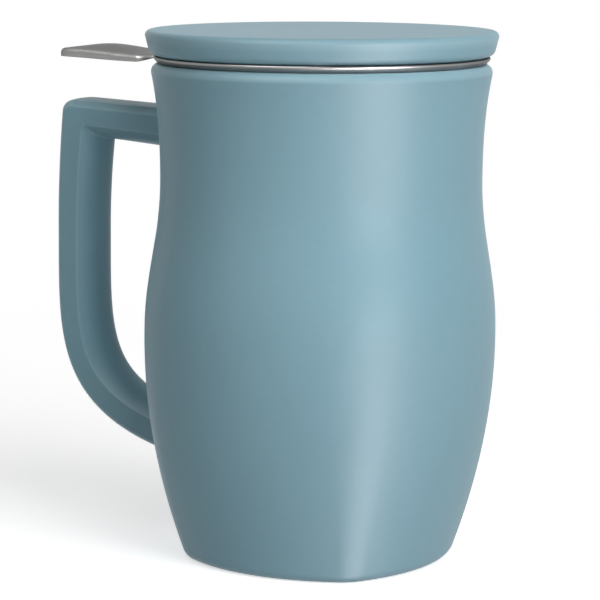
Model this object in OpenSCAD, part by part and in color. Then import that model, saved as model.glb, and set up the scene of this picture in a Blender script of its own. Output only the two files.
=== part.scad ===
// Lidded tea mug with a lift-out infuser.
// Origin at the middle of the foot on the standing plane, +Z up, handle and lift tab along -X.
// The mug is round from its waist up and turns into a rounded square towards its foot.

/* [Mug body] */
// Height of the ceramic mug, foot to rim
mug_h = 128; // [120:1:140]
// Half the distance between two opposite sides at the foot
foot_r = 32.3; // [30:0.1:34]
// How much the side leans outwards where it leaves the foot, as a slope
foot_flare = 0.375; // [0.3:0.005:0.42]
// Half the distance between two opposite sides at the belly
belly_r = 44.5; // [42.5:0.1:46]
// Height of the belly
belly_z = 62.5; // [56:0.5:68]
// Outer radius of the waist
waist_r = 41.3; // [40.8:0.1:42]
// Height of the waist
waist_z = 98; // [94:0.5:104]
// Outer radius that the flared wall reaches at the rim's height
rim_r = 44.1; // [43.6:0.1:44.6]
// How much the side leans outwards at the rim, as a slope
rim_flare = 0.235; // [0.15:0.005:0.28]
// Wall thickness of the side
wall = 4.2; // [3.6:0.1:4.6]
// Thickness of the floor at the middle
floor_t = 6; // [4:0.5:8]
// Radius of the outer edge of the rim
rim_edge = 2.2; // [1.4:0.1:2.4]
// Radius of the inner edge of the rim
rim_lip = 0.9; // [0.5:0.1:1]
// Radius of the edge round the foot
foot_edge = 3.8; // [2:0.1:4.5]
// Radius where the inner wall meets the floor
floor_fillet = 7; // [4:0.5:10]

/* [Rounded square foot] */
// Height where the round body starts to turn square
square_z = 85.5; // [78:0.5:94]
// How much flatter than round a side is at the foot, as a share of its radius
side_flat = 0.42; // [0.3:0.01:0.8]
// How much tighter than round a corner is at the foot, as a share of its radius
corner_tight = 0.66; // [0.4:0.01:0.75]
// Width of the ring that the mug stands on
foot_ring = 3.6; // [3:0.1:5]
// Depth of the recess inside that ring
foot_recess = 1.5; // [0.8:0.1:2]

/* [Handle] */
// Width across the handle
handle_w = 15; // [13:0.5:17]
// Depth of the handle's flat sides
handle_flat = 6.5; // [6:0.1:7.5]
// How far its inner face bulges past the flat sides
handle_bulge = 4; // [3:0.1:4.5]
// Radius along its outer edges
handle_edge = 1.3; // [0.8:0.1:2]
// Distance from the mug's axis to the handle's outermost point
handle_reach = 79.5; // [76:0.25:82]
// Height of the handle's outermost point
handle_mid_z = 80; // [74:1:84]
// How far the handle's top corner lies under the mug's rim
handle_drop = 12.1; // [11:0.1:16]
// How far the top corner lies inside the outermost point
handle_lean = 1.7; // [1:0.1:3]
// Radius of the top corner outside
handle_corner = 3; // [2:0.1:4]
// Radius of the top corner inside, where the two limbs meet in a mitre
handle_mitre = 0.6; // [0.4:0.1:1.5]
// How far the arm drops between the corner and the body
arm_drop = 1.1; // [0.5:0.1:2]
// Depth of the arm at the body as a share of its depth at the corner
arm_taper = 1.03; // [0.9:0.01:1.1]
// Height at which the sweep's outer edge meets the body
sweep_z = 22.6; // [20:0.1:26]
// Angle under the horizontal at which the sweep arrives
sweep_angle = 10.6; // [8:0.2:16]
// How far the sweep keeps to the leg's direction, as a share of its height
sweep_hold = 0.48; // [0.4:0.01:0.6]
// How far the sweep keeps to its last direction, as a share of its height
sweep_arrive = 0.76; // [0.65:0.01:0.85]
// Radius of the fillet where the handle is joined to the body
joint_fillet = 1.4; // [0.8:0.1:2]

/* [Lid] */
// How far the lid's top edge reaches past the outer radius of the mug's rim
lid_over = 1; // [0.4:0.1:1.8]
// Thickness of the lid's disc
lid_t = 6.5; // [5.5:0.1:8]
// How far the side tapers inwards from top to bottom
lid_taper = 0.8; // [0.5:0.1:1.5]
// Radius of the lid's top edge
lid_edge = 1.4; // [1:0.1:2]
// Height of the bevel under the lid
lid_bevel = 0.6; // [0.4:0.1:2]
// Width of the bevel under the lid
lid_bevel_w = 2.1; // [1.5:0.1:2.5]
// Depth of the locating ring under the lid
lid_ring_h = 5; // [4:0.5:8]
// Wall of the locating ring
lid_ring_t = 3; // [2.5:0.1:4]
// Radius of the locating ring's lower edges
lid_ring_edge = 1; // [0.5:0.1:1.2]

/* [Infuser] */
// How far the infuser's rim bead ends inside the outer radius of the mug's rim
bead_in = 1.1; // [0.7:0.1:1.6]
// Height of the bead, which holds the lid off the mug
bead_h = 1.9; // [1.6:0.1:2.4]
// Width of the bead
bead_w = 3; // [2.4:0.1:3.4]
// Radius inside the bead where its sheet turns up from the mug's rim
bead_bend = 0.4; // [0.2:0.1:0.6]
// Thickness of the infuser's sheet steel
sheet = 0.6; // [0.5:0.05:0.8]
// Height of the plain collar
collar_h = 14; // [10:1:18]
// Outer radius of the basket at its floor
basket_r = 31; // [28:0.5:32]
// Height of the basket's floor above the mug's foot
basket_z = 36; // [26:1:50]
// Diameter of a drain hole
hole_d = 2.6; // [1.6:0.1:3]
// Pitch between drain holes
hole_pitch = 7.5; // [6:0.5:9]
// Plain width of steel left at the ends of the basket's wall and round its floor
hole_margin = 5; // [4:0.5:8]

/* [Lift tab] */
// Distance from the mug's axis to the tab's tip
tab_reach = 78.8; // [74:0.2:81]
// Width of the tab
tab_w = 18.2; // [15:0.1:21]
// Width of the neck where the tab leaves the bead
tab_neck = 11; // [9:0.5:13]
// Length of the neck
tab_neck_len = 3; // [1:0.1:4]
// Height of the tab's turned-down sides where it is first at full width
tab_skirt = 1.9; // [1.6:0.1:2.8]
// How far the tab's top rises from neck to tip
tab_rise = 1.5; // [0.5:0.1:2]
// How far the lower edge of its sides rises over the same length
skirt_rise = 0.6; // [0:0.1:1]
// How far the tab's top drops again over its rounded tip
tab_droop = 0.5; // [0:0.1:0.8]
// Radius of the tab's folded edges
tab_fold = 1.2; // [0.9:0.1:1.4]
// Length over which the tab widens from its neck
tab_shoulder = 6; // [5:0.5:10]
// Corner radius of the tab's tip
tab_tip = 5; // [3:0.5:8]
// Height of the tab's top above the mug's rim at the neck
tab_lift = 0.7; // [0.65:0.05:1]

/* [Fit] */
// Clearance between the infuser's collar and the mug's wall
collar_gap = 0.7; // [0.4:0.1:1.2]
// Clearance between the lid's ring and the infuser's collar
lid_gap = 0.5; // [0.3:0.1:1]

/* [Hidden] */

glaze = [0.47, 0.60, 0.65];
steel = [0.72, 0.72, 0.71];
$fn = 96;

around = 72;         // points round each ring of the body
side_rings = 22;     // rings up the body's side
edge_steps = 4;      // steps round each small edge
arm_rings = 5;       // rings along the handle's arm
corner_rings = 6;    // rings round the handle's top corner
leg_rings = 8;       // rings down the handle's leg
sweep_rings = 16;    // rings along the handle's sweep
bulge_steps = 11;    // points round the handle's inner face
tab_rings = 5;       // rings along each stretch of the tab
sliver = 0.02;       // least length of an edge beside a rounding
run_out = 2;         // how far a cut runs past what it cuts
grain = 0.0001;      // points are rounded to this

// ---- shared curves -------------------------------------------------------------------------

// Point of a cubic curve from a to d with handles b and c
function cubic(a, b, c, d, t) =
    pow(1 - t, 3) * a + 3 * pow(1 - t, 2) * t * b + 3 * (1 - t) * t * t * c + t * t * t * d;

// Direction of the same curve
function cubic_way(a, b, c, d, t) =
    3 * pow(1 - t, 2) * (b - a) + 6 * (1 - t) * t * (c - b) + 3 * t * t * (d - c);

// Height between two stations, where u runs from 0 to 1 and the slopes are sa and sb
function hermite(u, a, sa, b, sb, span) =
    (2 * pow(u, 3) - 3 * u * u + 1) * a + (pow(u, 3) - 2 * u * u + u) * span * sa
    + (3 * u * u - 2 * pow(u, 3)) * b + (pow(u, 3) - u * u) * span * sb;

// Points of an arc round [x, y] in steps from angle a0 to a1
function arc(x, y, r, a0, a1, steps) =
    [for (i = [0 : steps]) let (a = a0 + (a1 - a0) * i / steps) [x + r * cos(a), y + r * sin(a)]];

// Faces that join rings of n points each, in order, and close both ends
function skin_faces(rings, n) = concat(
    [[for (i = [n - 1 : -1 : 0]) i]],
    [for (k = [0 : rings - 2], i = [0 : n - 1])
        [k * n + i, k * n + (i + 1) % n, (k + 1) * n + (i + 1) % n]],
    [for (k = [0 : rings - 2], i = [0 : n - 1])
        [k * n + i, (k + 1) * n + (i + 1) % n, (k + 1) * n + i]],
    [[for (i = [0 : n - 1]) (rings - 1) * n + i]]);

module skin(rings) {
    polyhedron(
        points = [for (ring = rings, p = ring) [for (c = p) round(c / grain) * grain]],
        faces = [for (f = skin_faces(len(rings), len(rings[0]))) [for (i = [len(f) - 1 : -1 : 0]) f[i]]],
        convexity = 8);
}

// ---- mug body ------------------------------------------------------------------------------

// Half width of the body across its sides at a height
function body_r(z) =
    z < belly_z ? hermite(z / belly_z, foot_r, foot_flare, belly_r, 0, belly_z)
    : z < waist_z
    ? hermite((z - belly_z) / (waist_z - belly_z), belly_r, 0, waist_r, 0, waist_z - belly_z)
    : hermite((z - waist_z) / (mug_h - waist_z), waist_r, 0, rim_r, rim_flare, mug_h - waist_z);

// How square the body is at a height: 0 is round, 1 is the foot
function squareness(z) = z < square_z ? 1 - z / square_z : 0;

// Four flat-curved sides meet four tighter corners, each pair tangent at side_angle.
// The corners' centres lie on the diagonals, corner_out times the squareness from the axis.
corner_out = (sqrt(4 * pow(side_flat + corner_tight, 2) - 2 * pow(side_flat, 2)) - sqrt(2) * side_flat) / 2;
side_angle = atan2(corner_out / sqrt(2), corner_out / sqrt(2) + side_flat);

// Point of the section of half width r and squareness s where the wall faces the angle a
function quarter_pt(r, s, inset, a) =
    let (side_r = r * (1 + side_flat * s), corner_r = r * (1 - corner_tight * s),
         q = r * s * corner_out / sqrt(2))
    a < side_angle ? [(side_r - inset) * cos(a) - (side_r - r), (side_r - inset) * sin(a)]
    : a > 90 - side_angle ? [(side_r - inset) * cos(a), (side_r - inset) * sin(a) - (side_r - r)]
    : [q + (corner_r - inset) * cos(a), q + (corner_r - inset) * sin(a)];

// The whole section at height z, its outline moved inwards by inset
function section(z, inset, at_z) =
    [for (i = [0 : around - 1])
        let (a = 360 * i / around, turn = floor(a / 90) * 90,
             p = quarter_pt(body_r(z), squareness(z), inset, a - turn))
        [p[0] * cos(turn) - p[1] * sin(turn), p[0] * sin(turn) + p[1] * cos(turn), at_z]];

inner_floor_z = foot_recess + floor_t;
foot_lean = atan(foot_flare);
rim_lean = atan(rim_flare);
foot_tangent_z = foot_edge * (1 - sin(foot_lean));
rim_tangent_z = mug_h - rim_edge * (1 + sin(rim_lean));
inner_top = mug_h - rim_lip;
inner_lean = atan((body_r(inner_floor_z + floor_fillet) - body_r(inner_floor_z)) / floor_fillet);
inner_low = inner_floor_z + floor_fillet * (1 - sin(inner_lean));

// Rings of a rounded edge of radius r that touches the wall, which leans there, at height z.
// Its centre lies at height centre_z, and it turns from angle a0 to a1. A wall that faces the axis
// has a lean of 180.
function edge_rings(z, inset, r, lean, centre_z, a0, a1, steps) =
    [for (i = [0 : steps])
        let (a = a0 + (a1 - a0) * i / steps)
        section(z, inset + r * (cos(lean) - cos(a)), centre_z + r * sin(a))];

module mug_body() {
    foot = edge_rings(foot_tangent_z, 0, foot_edge, foot_lean, foot_edge, -90, -foot_lean, edge_steps);
    outer = [for (i = [1 : side_rings - 1])
        let (z = foot_tangent_z + (rim_tangent_z - foot_tangent_z) * i / side_rings) section(z, 0, z)];
    rim = edge_rings(rim_tangent_z, 0, rim_edge, rim_lean, mug_h - rim_edge, -rim_lean, 90, edge_steps + 1);
    lip = edge_rings(inner_top, wall, rim_lip, 180, inner_top, 90, 180, edge_steps);
    inner = [for (i = [1 : side_rings - 1])
        let (z = inner_top + (inner_low - inner_top) * i / side_rings) section(z, wall, z)];
    fillet = edge_rings(inner_low, wall, floor_fillet, inner_lean, inner_floor_z + floor_fillet,
                        -inner_lean, -90, edge_steps + 1);
    color(glaze) difference() {
        skin(concat(foot, outer, rim, lip, inner, fillet));
        translate([0, 0, -run_out])
            cylinder(r = foot_r - foot_edge - foot_ring, h = foot_recess + run_out);
    }
}

// ---- handle --------------------------------------------------------------------------------

// Where the body's -X side lies at a distance y from the middle and a height z
function side_x(y, z) =
    let (r = body_r(z), side_r = r * (1 + side_flat * squareness(z)))
    (side_r - r) - sqrt(side_r * side_r - y * y);

handle_t = handle_flat + handle_bulge;
// Outline of the handle as [depth from the outer face, distance across], each with its normal:
// an outer edge, the half ellipse of the inner face, and the other outer edge
edge_y = handle_w / 2 - handle_edge;
function outer_edge(y, a) = [handle_edge * (1 + cos(a)), y + handle_edge * sin(a), cos(a), sin(a)];
handle_outline = concat(
    [for (i = [0 : edge_steps]) outer_edge(edge_y, 180 - 90 * i / edge_steps)],
    [for (i = [0 : bulge_steps])
        let (a = 90 - 180 * i / bulge_steps)
        [handle_flat + handle_bulge * cos(a), handle_w / 2 * sin(a), cos(a), sin(a)]],
    [for (i = [0 : edge_steps]) outer_edge(-edge_y, -90 - 90 * i / edge_steps)]);

handle_top_z = mug_h - handle_drop;
top_x = -(handle_reach - handle_lean);
arm_x = side_x(0, handle_top_z - arm_drop);

// The limbs meet in a mitre at the top corner: each depth d has a corner arc of its own there
function corner_r(d) = handle_corner + (handle_mitre - handle_corner) * d / handle_t;
function corner_pt(d, a) =
    [top_x + d + corner_r(d) * (1 + cos(a)), handle_top_z - d - corner_r(d) * (1 - sin(a))];
function corner_ring(a) = [for (p = handle_outline) let (c = corner_pt(p[0], a)) [c[0], p[1], c[1]]];

// One ring of the arm, at the share u of the way from the body to the corner's first ring
function arm_ring(u, grow) =
    let (share = arm_taper + (1 - arm_taper) * u, outer_z = handle_top_z - arm_drop * (1 - u))
    [for (p = handle_outline)
        [arm_x + (corner_pt(p[0], 90)[0] - arm_x) * u, p[1] + p[3] * grow,
         outer_z - p[0] * share - p[2] * grow]];

// One ring of the leg, square to its path where the path passes o and runs along way
function path_ring(o, way, grow) =
    let (n = [-way[1], way[0]] / norm(way))
    [for (p = handle_outline)
        let (d = p[0] + p[2] * grow) [o[0] + n[0] * d, p[1] + p[3] * grow, o[1] + n[1] * d]];

function cubic_ring(c, t) =
    path_ring(cubic(c[0], c[1], c[2], c[3], t), cubic_way(c[0], c[1], c[2], c[3], t), 0);

// One ring of the upper leg, at the share u of the way down from the corner's last ring to the
// outermost point, which it reaches upright
function leg_ring(u) =
    [for (p = handle_outline)
        let (c = corner_pt(p[0], 180))
        [c[0] - handle_lean * (2 * u - u * u), p[1], c[1] + (handle_mid_z - c[1]) * u]];

// From there the sweep curves back to the body
sweep_x = side_x(0, sweep_z);
sweep_run = sweep_arrive * (handle_mid_z - sweep_z);
sweep = [[-handle_reach, handle_mid_z], [-handle_reach, handle_mid_z - sweep_hold * (handle_mid_z - sweep_z)],
         [sweep_x - sweep_run * cos(sweep_angle), sweep_z + sweep_run * sin(sweep_angle)],
         [sweep_x, sweep_z]];
sweep_way = [cos(sweep_angle), -sin(sweep_angle)];
arm_way = [1, 0];

// A ring carried on along way until it lies on the body's side
seat_tries = 4;
cap_shares = [0.05, 0.35, 0.7];
function seat(ring, way, tries) =
    tries == 0 ? ring
    : seat([for (p = ring) p + (side_x(p[1], p[2]) - p[0]) * [1, 0, way[1] / way[0]]], way, tries - 1);

// The handle grows into the body like a fillet. Each u is a distance from the body in fillet radii.
fillet_steps = [0, 0.06, 0.2, 0.45, 0.75, 1];
function growth(u) = joint_fillet * (1 - sqrt(1 - pow(1 - u, 2)));
function joint_ring(ring, way, u) =
    [for (p = seat(ring, way, seat_tries)) p - u * joint_fillet * [way[0], 0, way[1]]];

// The end face lies on the body: the ring drawn together towards its middle, each time seated anew
function cap_ring(ring, way, share) =
    let (middle = (ring[0] + ring[floor(len(ring) / 2)]) / 2)
    seat([for (p = ring) middle + share * (p - middle)], way, seat_tries);

module handle() {
    arm_joint = [for (u = fillet_steps) joint_ring(arm_ring(0, growth(u)), arm_way, u)];
    arm = [for (i = [1 : arm_rings - 1]) arm_ring(i / arm_rings, 0)];
    corner = [for (i = [0 : corner_rings]) corner_ring(90 + 90 * i / corner_rings)];
    leg = [for (i = [1 : leg_rings]) leg_ring(i / leg_rings)];
    lower_leg = [for (i = [1 : sweep_rings - 1]) cubic_ring(sweep, i / sweep_rings)];
    sweep_joint = [for (k = [len(fillet_steps) - 1 : -1 : 0]) let (u = fillet_steps[k])
        joint_ring(path_ring([sweep_x, sweep_z], sweep_way, growth(u)), sweep_way, u)];
    arm_cap = [for (share = cap_shares) cap_ring(arm_ring(0, growth(0)), arm_way, share)];
    sweep_cap = [for (k = [len(cap_shares) - 1 : -1 : 0])
        cap_ring(path_ring([sweep_x, sweep_z], sweep_way, growth(0)), sweep_way, cap_shares[k])];
    color(glaze) skin(concat(arm_cap, arm_joint, arm, corner, leg, lower_leg, sweep_joint, sweep_cap));
}

// ---- infuser -------------------------------------------------------------------------------

roll = bead_h / 2;
bead_r = rim_r - bead_in;
bead_top = mug_h + bead_h;
collar_low = bead_top - collar_h;

// The collar clears the mug's mouth and its own place there, and the basket's wall clears the waist
function bore_r(z) = body_r(z) - wall - collar_gap;
collar_r = min(bore_r(mug_h), bore_r(collar_low),
               basket_r + (bore_r(waist_z) - basket_r) * (collar_low - basket_z) / (waist_z - basket_z));

// The flange is one pressing: a rolled bead outside, a flat ledge, a bend into the collar, and the tab
module infuser_rim() {
    color(steel) union() {
        rotate_extrude() polygon(concat(
            arc(bead_r - roll, mug_h + roll, roll, -90, 90, 8),
            [[collar_r - sheet, bead_top], [collar_r - sheet, bead_top - 2 * sheet],
             [collar_r, bead_top - 2 * sheet], [collar_r, bead_top - sheet],
             [bead_r - bead_w, bead_top - sheet], [bead_r - bead_w, mug_h + bead_bend],
             [bead_r - bead_w + bead_bend, mug_h]]));
        difference() {
            tab_block(0, tab_stations);
            tab_block(sheet, [for (x = tab_stations) if (x > bead_r) x]);
        }
    }
}

// The tab's stations, as distances from the mug's axis: root, neck, shoulder, blade and rounded tip
tab_root = bead_r - roll;
tab_neck_end = bead_r + tab_neck_len;
tab_wide = tab_neck_end + tab_shoulder;
tab_tip_start = tab_reach - tab_tip;
tab_stations = concat(
    [tab_root, tab_neck_end],
    [for (i = [1 : tab_rings]) tab_neck_end + tab_shoulder * i / tab_rings],
    [for (i = [1 : tab_rings]) tab_wide + (tab_tip_start - tab_wide) * i / tab_rings],
    [for (i = [1 : tab_rings]) tab_tip_start + tab_tip * sin(90 * i / tab_rings)]);

// Smooth step from 0 to 1 between a and b
function ease(x, a, b) = (1 - cos(180 * min(1, max(0, (x - a) / (b - a))))) / 2;

function tab_half(x) =
    x < tab_tip_start ? (tab_neck + (tab_w - tab_neck) * ease(x, tab_neck_end, tab_wide)) / 2
    : tab_w / 2 - tab_tip + sqrt(max(0, pow(tab_tip, 2) - pow(x - tab_tip_start, 2)));
function tab_top(x) =
    mug_h + tab_lift + tab_rise * ease(x, tab_neck_end, tab_tip_start)
    - tab_droop * ease(x, tab_tip_start, tab_reach);
function tab_low(x) =
    mug_h + tab_lift - sheet - (tab_skirt - sheet) * ease(x, tab_neck_end, tab_wide)
    + skirt_rise * ease(x, tab_wide, tab_reach);

// The tab as a solid block drawn in by inset on its top, sides and tip. The one drawn in runs out below.
module tab_block(inset, stations) {
    fold = tab_fold - inset;
    skin([for (x = stations)
        let (w = tab_half(x) - inset, top = tab_top(x) - inset,
             low = tab_low(x) - (inset > 0 ? run_out : 0),
             f = min(fold, top - low - sliver, w - sliver), at = x - (x > tab_tip_start ? inset : 0))
        [for (p = concat([[-w, low]], arc(f - w, top - f, f, 180, 90, edge_steps),
                         arc(w - f, top - f, f, 90, 0, edge_steps), [[w, low]])) [-at, p[0], p[1]]]]);
}

module basket_collar() {
    color(steel) translate([0, 0, collar_low]) difference() {
        cylinder(r = collar_r, h = collar_h - 2 * sheet);
        translate([0, 0, -run_out]) cylinder(r = collar_r - sheet, h = collar_h + 2 * run_out);
    }
}

basket_h = collar_low - basket_z;
hole_rows = floor((basket_h - 2 * hole_margin) / hole_pitch) + 1;
holes_round = floor(2 * PI * basket_r / hole_pitch);
row_gap = (basket_h - 2 * hole_margin) / (hole_rows - 1);

// A drain hole of six sides along Z, which runs out of the sheet on both sides
module drain_hole() {
    cylinder(d = hole_d, h = sheet + 2 * run_out, $fn = 6);
}

module basket_wall() {
    color(steel) difference() {
        rotate_extrude() polygon([[basket_r, basket_z], [collar_r, collar_low],
            [collar_r - sheet, collar_low], [basket_r - sheet, basket_z]]);
        for (j = [0 : hole_rows - 1], i = [0 : holes_round - 1]) {
            z = hole_margin + j * row_gap;
            wall_r = basket_r + (collar_r - basket_r) * z / basket_h;
            rotate([0, 0, 360 * (i + (j % 2) / 2) / holes_round])
                translate([wall_r - sheet - run_out, 0, basket_z + z]) rotate([0, 90, 0]) drain_hole();
        }
    }
}

module basket_floor() {
    reach = floor((basket_r - hole_margin) / hole_pitch);
    color(steel) translate([0, 0, basket_z - sheet]) difference() {
        cylinder(r = basket_r, h = sheet);
        for (i = [-reach : reach], j = [-reach : reach])
            if (norm([i, j]) * hole_pitch < basket_r - hole_margin)
                translate([i * hole_pitch, j * hole_pitch, -run_out]) drain_hole();
    }
}

// ---- lid -----------------------------------------------------------------------------------

module lid() {
    lid_r = rim_r + lid_over;
    top = bead_top + lid_t;
    side_low = bead_top + lid_bevel;
    ring_r = collar_r - sheet - lid_gap;
    ring_low = bead_top - lid_ring_h + lid_ring_edge;
    color(glaze) rotate_extrude() polygon(concat(
        [[0, top]],
        arc(lid_r - lid_edge, top - lid_edge, lid_edge, 90, 0, 2 * edge_steps),
        [[lid_r - lid_taper, side_low], [lid_r - lid_taper - lid_bevel_w, bead_top], [ring_r, bead_top]],
        arc(ring_r - lid_ring_edge, ring_low, lid_ring_edge, 0, -90, edge_steps),
        arc(ring_r - lid_ring_t + lid_ring_edge, ring_low, lid_ring_edge, -90, -180, edge_steps),
        [[ring_r - lid_ring_t, bead_top], [0, bead_top]]));
}

mug_body();
handle();
lid();
infuser_rim();
basket_collar();
basket_wall();
basket_floor();
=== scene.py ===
"""Looks of a lidded tea mug with a lift-out infuser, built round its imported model.

Sizes of the part are millimetres in its own frame: the origin at the middle of the foot, +Z up, and
the handle and the lift tab along -X. put() turns them into metres. Sizes of the studio are metres,
apart from the camera's. All angles are degrees.
"""

import functools
import math

import bpy
import bmesh
from mathutils import Matrix, Vector

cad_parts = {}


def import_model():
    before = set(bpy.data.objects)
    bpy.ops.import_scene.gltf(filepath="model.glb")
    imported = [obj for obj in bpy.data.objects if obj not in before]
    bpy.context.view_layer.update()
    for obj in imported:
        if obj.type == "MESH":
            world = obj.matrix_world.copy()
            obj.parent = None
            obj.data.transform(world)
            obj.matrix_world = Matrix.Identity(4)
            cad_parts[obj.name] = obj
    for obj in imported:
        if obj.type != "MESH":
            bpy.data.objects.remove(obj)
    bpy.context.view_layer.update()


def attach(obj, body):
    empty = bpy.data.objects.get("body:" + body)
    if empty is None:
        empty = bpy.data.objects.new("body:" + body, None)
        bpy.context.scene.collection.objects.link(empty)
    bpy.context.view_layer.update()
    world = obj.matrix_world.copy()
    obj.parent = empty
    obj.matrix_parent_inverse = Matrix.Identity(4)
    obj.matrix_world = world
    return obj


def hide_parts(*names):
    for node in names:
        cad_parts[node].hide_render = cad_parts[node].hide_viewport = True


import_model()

MM = 0.001

# ---- sizes of the part ---------------------------------------------------------------------------

# Mug body. A flare is how fast the radius grows with the height. Above SQUARE_Z the body is round.
MUG_H = 128.0
FOOT_R, FOOT_FLARE = 32.3, 0.375
BELLY_R, BELLY_Z = 44.5, 62.5
WAIST_R, WAIST_Z = 41.3, 98.0
RIM_R, RIM_FLARE = 44.1, 0.235
WALL, FLOOR_T = 4.2, 6.0
RIM_EDGE, RIM_LIP, FOOT_EDGE, FLOOR_FILLET = 2.2, 0.9, 3.8, 7.0
SQUARE_Z, SIDE_FLAT, CORNER_TIGHT = 85.5, 0.42, 0.66
FOOT_RING, FOOT_RECESS, RECESS_EDGE = 3.6, 1.5, 0.6
FLOOR_REACH = 20.0  # how far in from the fillet the floor has rings
BARE_Z = 0.02       # the foot ring has no glaze below this

# Handle. ARM_EDGE and LEG_EDGE are each limb's bevel: how far it reaches across, and how deep it
# ends and begins, behind the middle of the crowned outer face.
HANDLE_W, HANDLE_FLAT, HANDLE_BULGE, BULGE_POWER = 15.0, 6.8, 3.7, 2.4
ARM_EDGE, LEG_EDGE, EDGE_SOFT = (1.9, 1.9, 0.4), (1.0, 1.1, 0.0), 0.4
HANDLE_REACH, HANDLE_MID_Z, HANDLE_TOP_Z, HANDLE_LEAN = 79.5, 80.0, 116.0, 1.7
HANDLE_CORNER, HANDLE_MITRE = 3.0, 0.6
ARM_DROP, ARM_TAPER = 1.1, 1.05
SWEEP_Z, SWEEP_ANGLE, SWEEP_HOLD, SWEEP_ARRIVE = 22.6, 10.6, 0.48, 0.76
JOINT_FILLET = 1.4

# Lid, with the locating ring under it. Its lower edge is the stretch LID_LOW_ARC of a circle that
# stays LID_LOW_RISE above the lid's underside.
LID_R, LID_T, LID_TAPER, LID_EDGE = 45.1, 6.5, 0.8, 1.4
LID_BEVEL_W, LID_LOW_EDGE, LID_LOW_RISE, LID_LOW_ARC = 2.1, 2.0, 0.2, (-8, -75)
LID_RING_H, LID_RING_T, LID_RING_EDGE, LID_GAP = 5.0, 3.0, 1.0, 0.5

# Infuser: the bead round its rim, the basket and the lift tab. The tab's dome is highest at
# DOME_PEAK from the axis, and its inner rings end DOME_BACK before the tip's round corners.
BEAD_R, BEAD_H, BEAD_W, BEAD_BEND = 43.0, 1.9, 3.0, 0.4
BEAD_ROLL, BEAD_DIP, BEAD_FOOT = 0.45, 0.05, 1.2
SHEET, COLLAR_H, COLLAR_GAP = 0.6, 14.0, 0.7
BASKET_R, BASKET_Z = 31.0, 36.0
HOLE_R, HOLE_PITCH, HOLE_MARGIN = 0.65, 2.7, 4.0
TAB_REACH, TAB_W, TAB_NECK, TAB_NECK_LEN = 78.8, 18.2, 11.0, 3.0
TAB_SKIRT, TAB_RISE, SKIRT_RISE, TAB_DROOP = 1.9, 1.1, 0.6, 0.3
TAB_FOLD, TAB_SHOULDER, TAB_TIP, TAB_LIFT = 1.2, 6.0, 5.0, 0.7
TAB_DOME, DOME_PEAK, DOME_BACK = 1.15, 65.0, 4.0

BEAD_TOP = MUG_H + BEAD_H
COLLAR_LOW = BEAD_TOP - COLLAR_H

# ---- how finely it is drawn ----------------------------------------------------------------------

AROUND = 288      # points round each ring of the body
SIDE_RINGS = 150  # rings up the body's side
EDGE_STEPS = 10   # steps round each small edge
RECESS_STEPS = 5  # steps round the edges of the recess
TURN_STEPS = 240  # points round each turned piece
POLE = 2.0        # radius of a disc's first ring, inside which it is a fan
DISC_RINGS, LID_RINGS = 8, 12

ARM_RINGS, CORNER_RINGS, LEG_RINGS, SWEEP_RINGS = 24, 24, 30, 90
ARM_SKIP, SWEEP_SKIP = 2, 6        # rings next to the body that the fillets stand for
JOINT_STEPS = 12                   # steps round each fillet
SEAT_ROUNDS = 8                    # rounds in which a ring is brought to lie on the body
CROWN_SHARES = (0.35, 0.65, 0.85)  # where half the outer face has points
CREASE_STEPS = 2                   # steps round each edge of the handle's section
SIDE_MARGIN = 1.0                  # how near to bevel and ridge the flat side has points
BULGE_STEPS = 24                   # steps over half the inner face

NECK_STEPS, TAB_STEPS, TIP_STEPS, END_STEPS, FOLD_STEPS = 4, 20, 16, 6, 8
DOME_SHARES = (0.1, 0.25, 0.4, 0.55, 0.7, 0.85)

HOLE_SIDES = 8   # as many as a cell's border has points
BAND_STEPS = 3   # steps over each plain band of the basket's wall
DISC_SIDES = 96  # points round the basket's floor

WELD = 1e-7  # metres within which two points are one

# ---- curves --------------------------------------------------------------------------------------


def sin(a):
    return math.sin(math.radians(a))


def cos(a):
    return math.cos(math.radians(a))


def steps(a, b, n):
    """n + 1 numbers from a to b."""
    return [a + (b - a) * i / n for i in range(n + 1)]


def arc(x, y, r, a0, a1, n=EDGE_STEPS):
    """n + 1 points of an arc round (x, y)."""
    return [(x + r * cos(a), y + r * sin(a)) for a in steps(a0, a1, n)]


def ease(x, a, b):
    """Smooth step from 0 to 1 between a and b."""
    return (1 - cos(180 * min(1, max(0, (x - a) / (b - a))))) / 2


def hermite(u, a, slope_a, b, slope_b, span):
    """Value between a and b, which are span apart and have these slopes. u runs from 0 to 1."""
    return ((2 * u**3 - 3 * u**2 + 1) * a + (u**3 - 2 * u**2 + u) * span * slope_a
            + (3 * u**2 - 2 * u**3) * b + (u**3 - u**2) * span * slope_b)


def cubic(p, t):
    """Point of the cubic curve with the control points p, and its direction there."""
    s = 1 - t
    at = [s**3 * p[0][k] + 3 * s**2 * t * p[1][k] + 3 * s * t**2 * p[2][k] + t**3 * p[3][k]
          for k in (0, 1)]
    way = [3 * s**2 * (p[1][k] - p[0][k]) + 6 * s * t * (p[2][k] - p[1][k])
           + 3 * t**2 * (p[3][k] - p[2][k]) for k in (0, 1)]
    return at, way


# ---- meshes --------------------------------------------------------------------------------------


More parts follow.
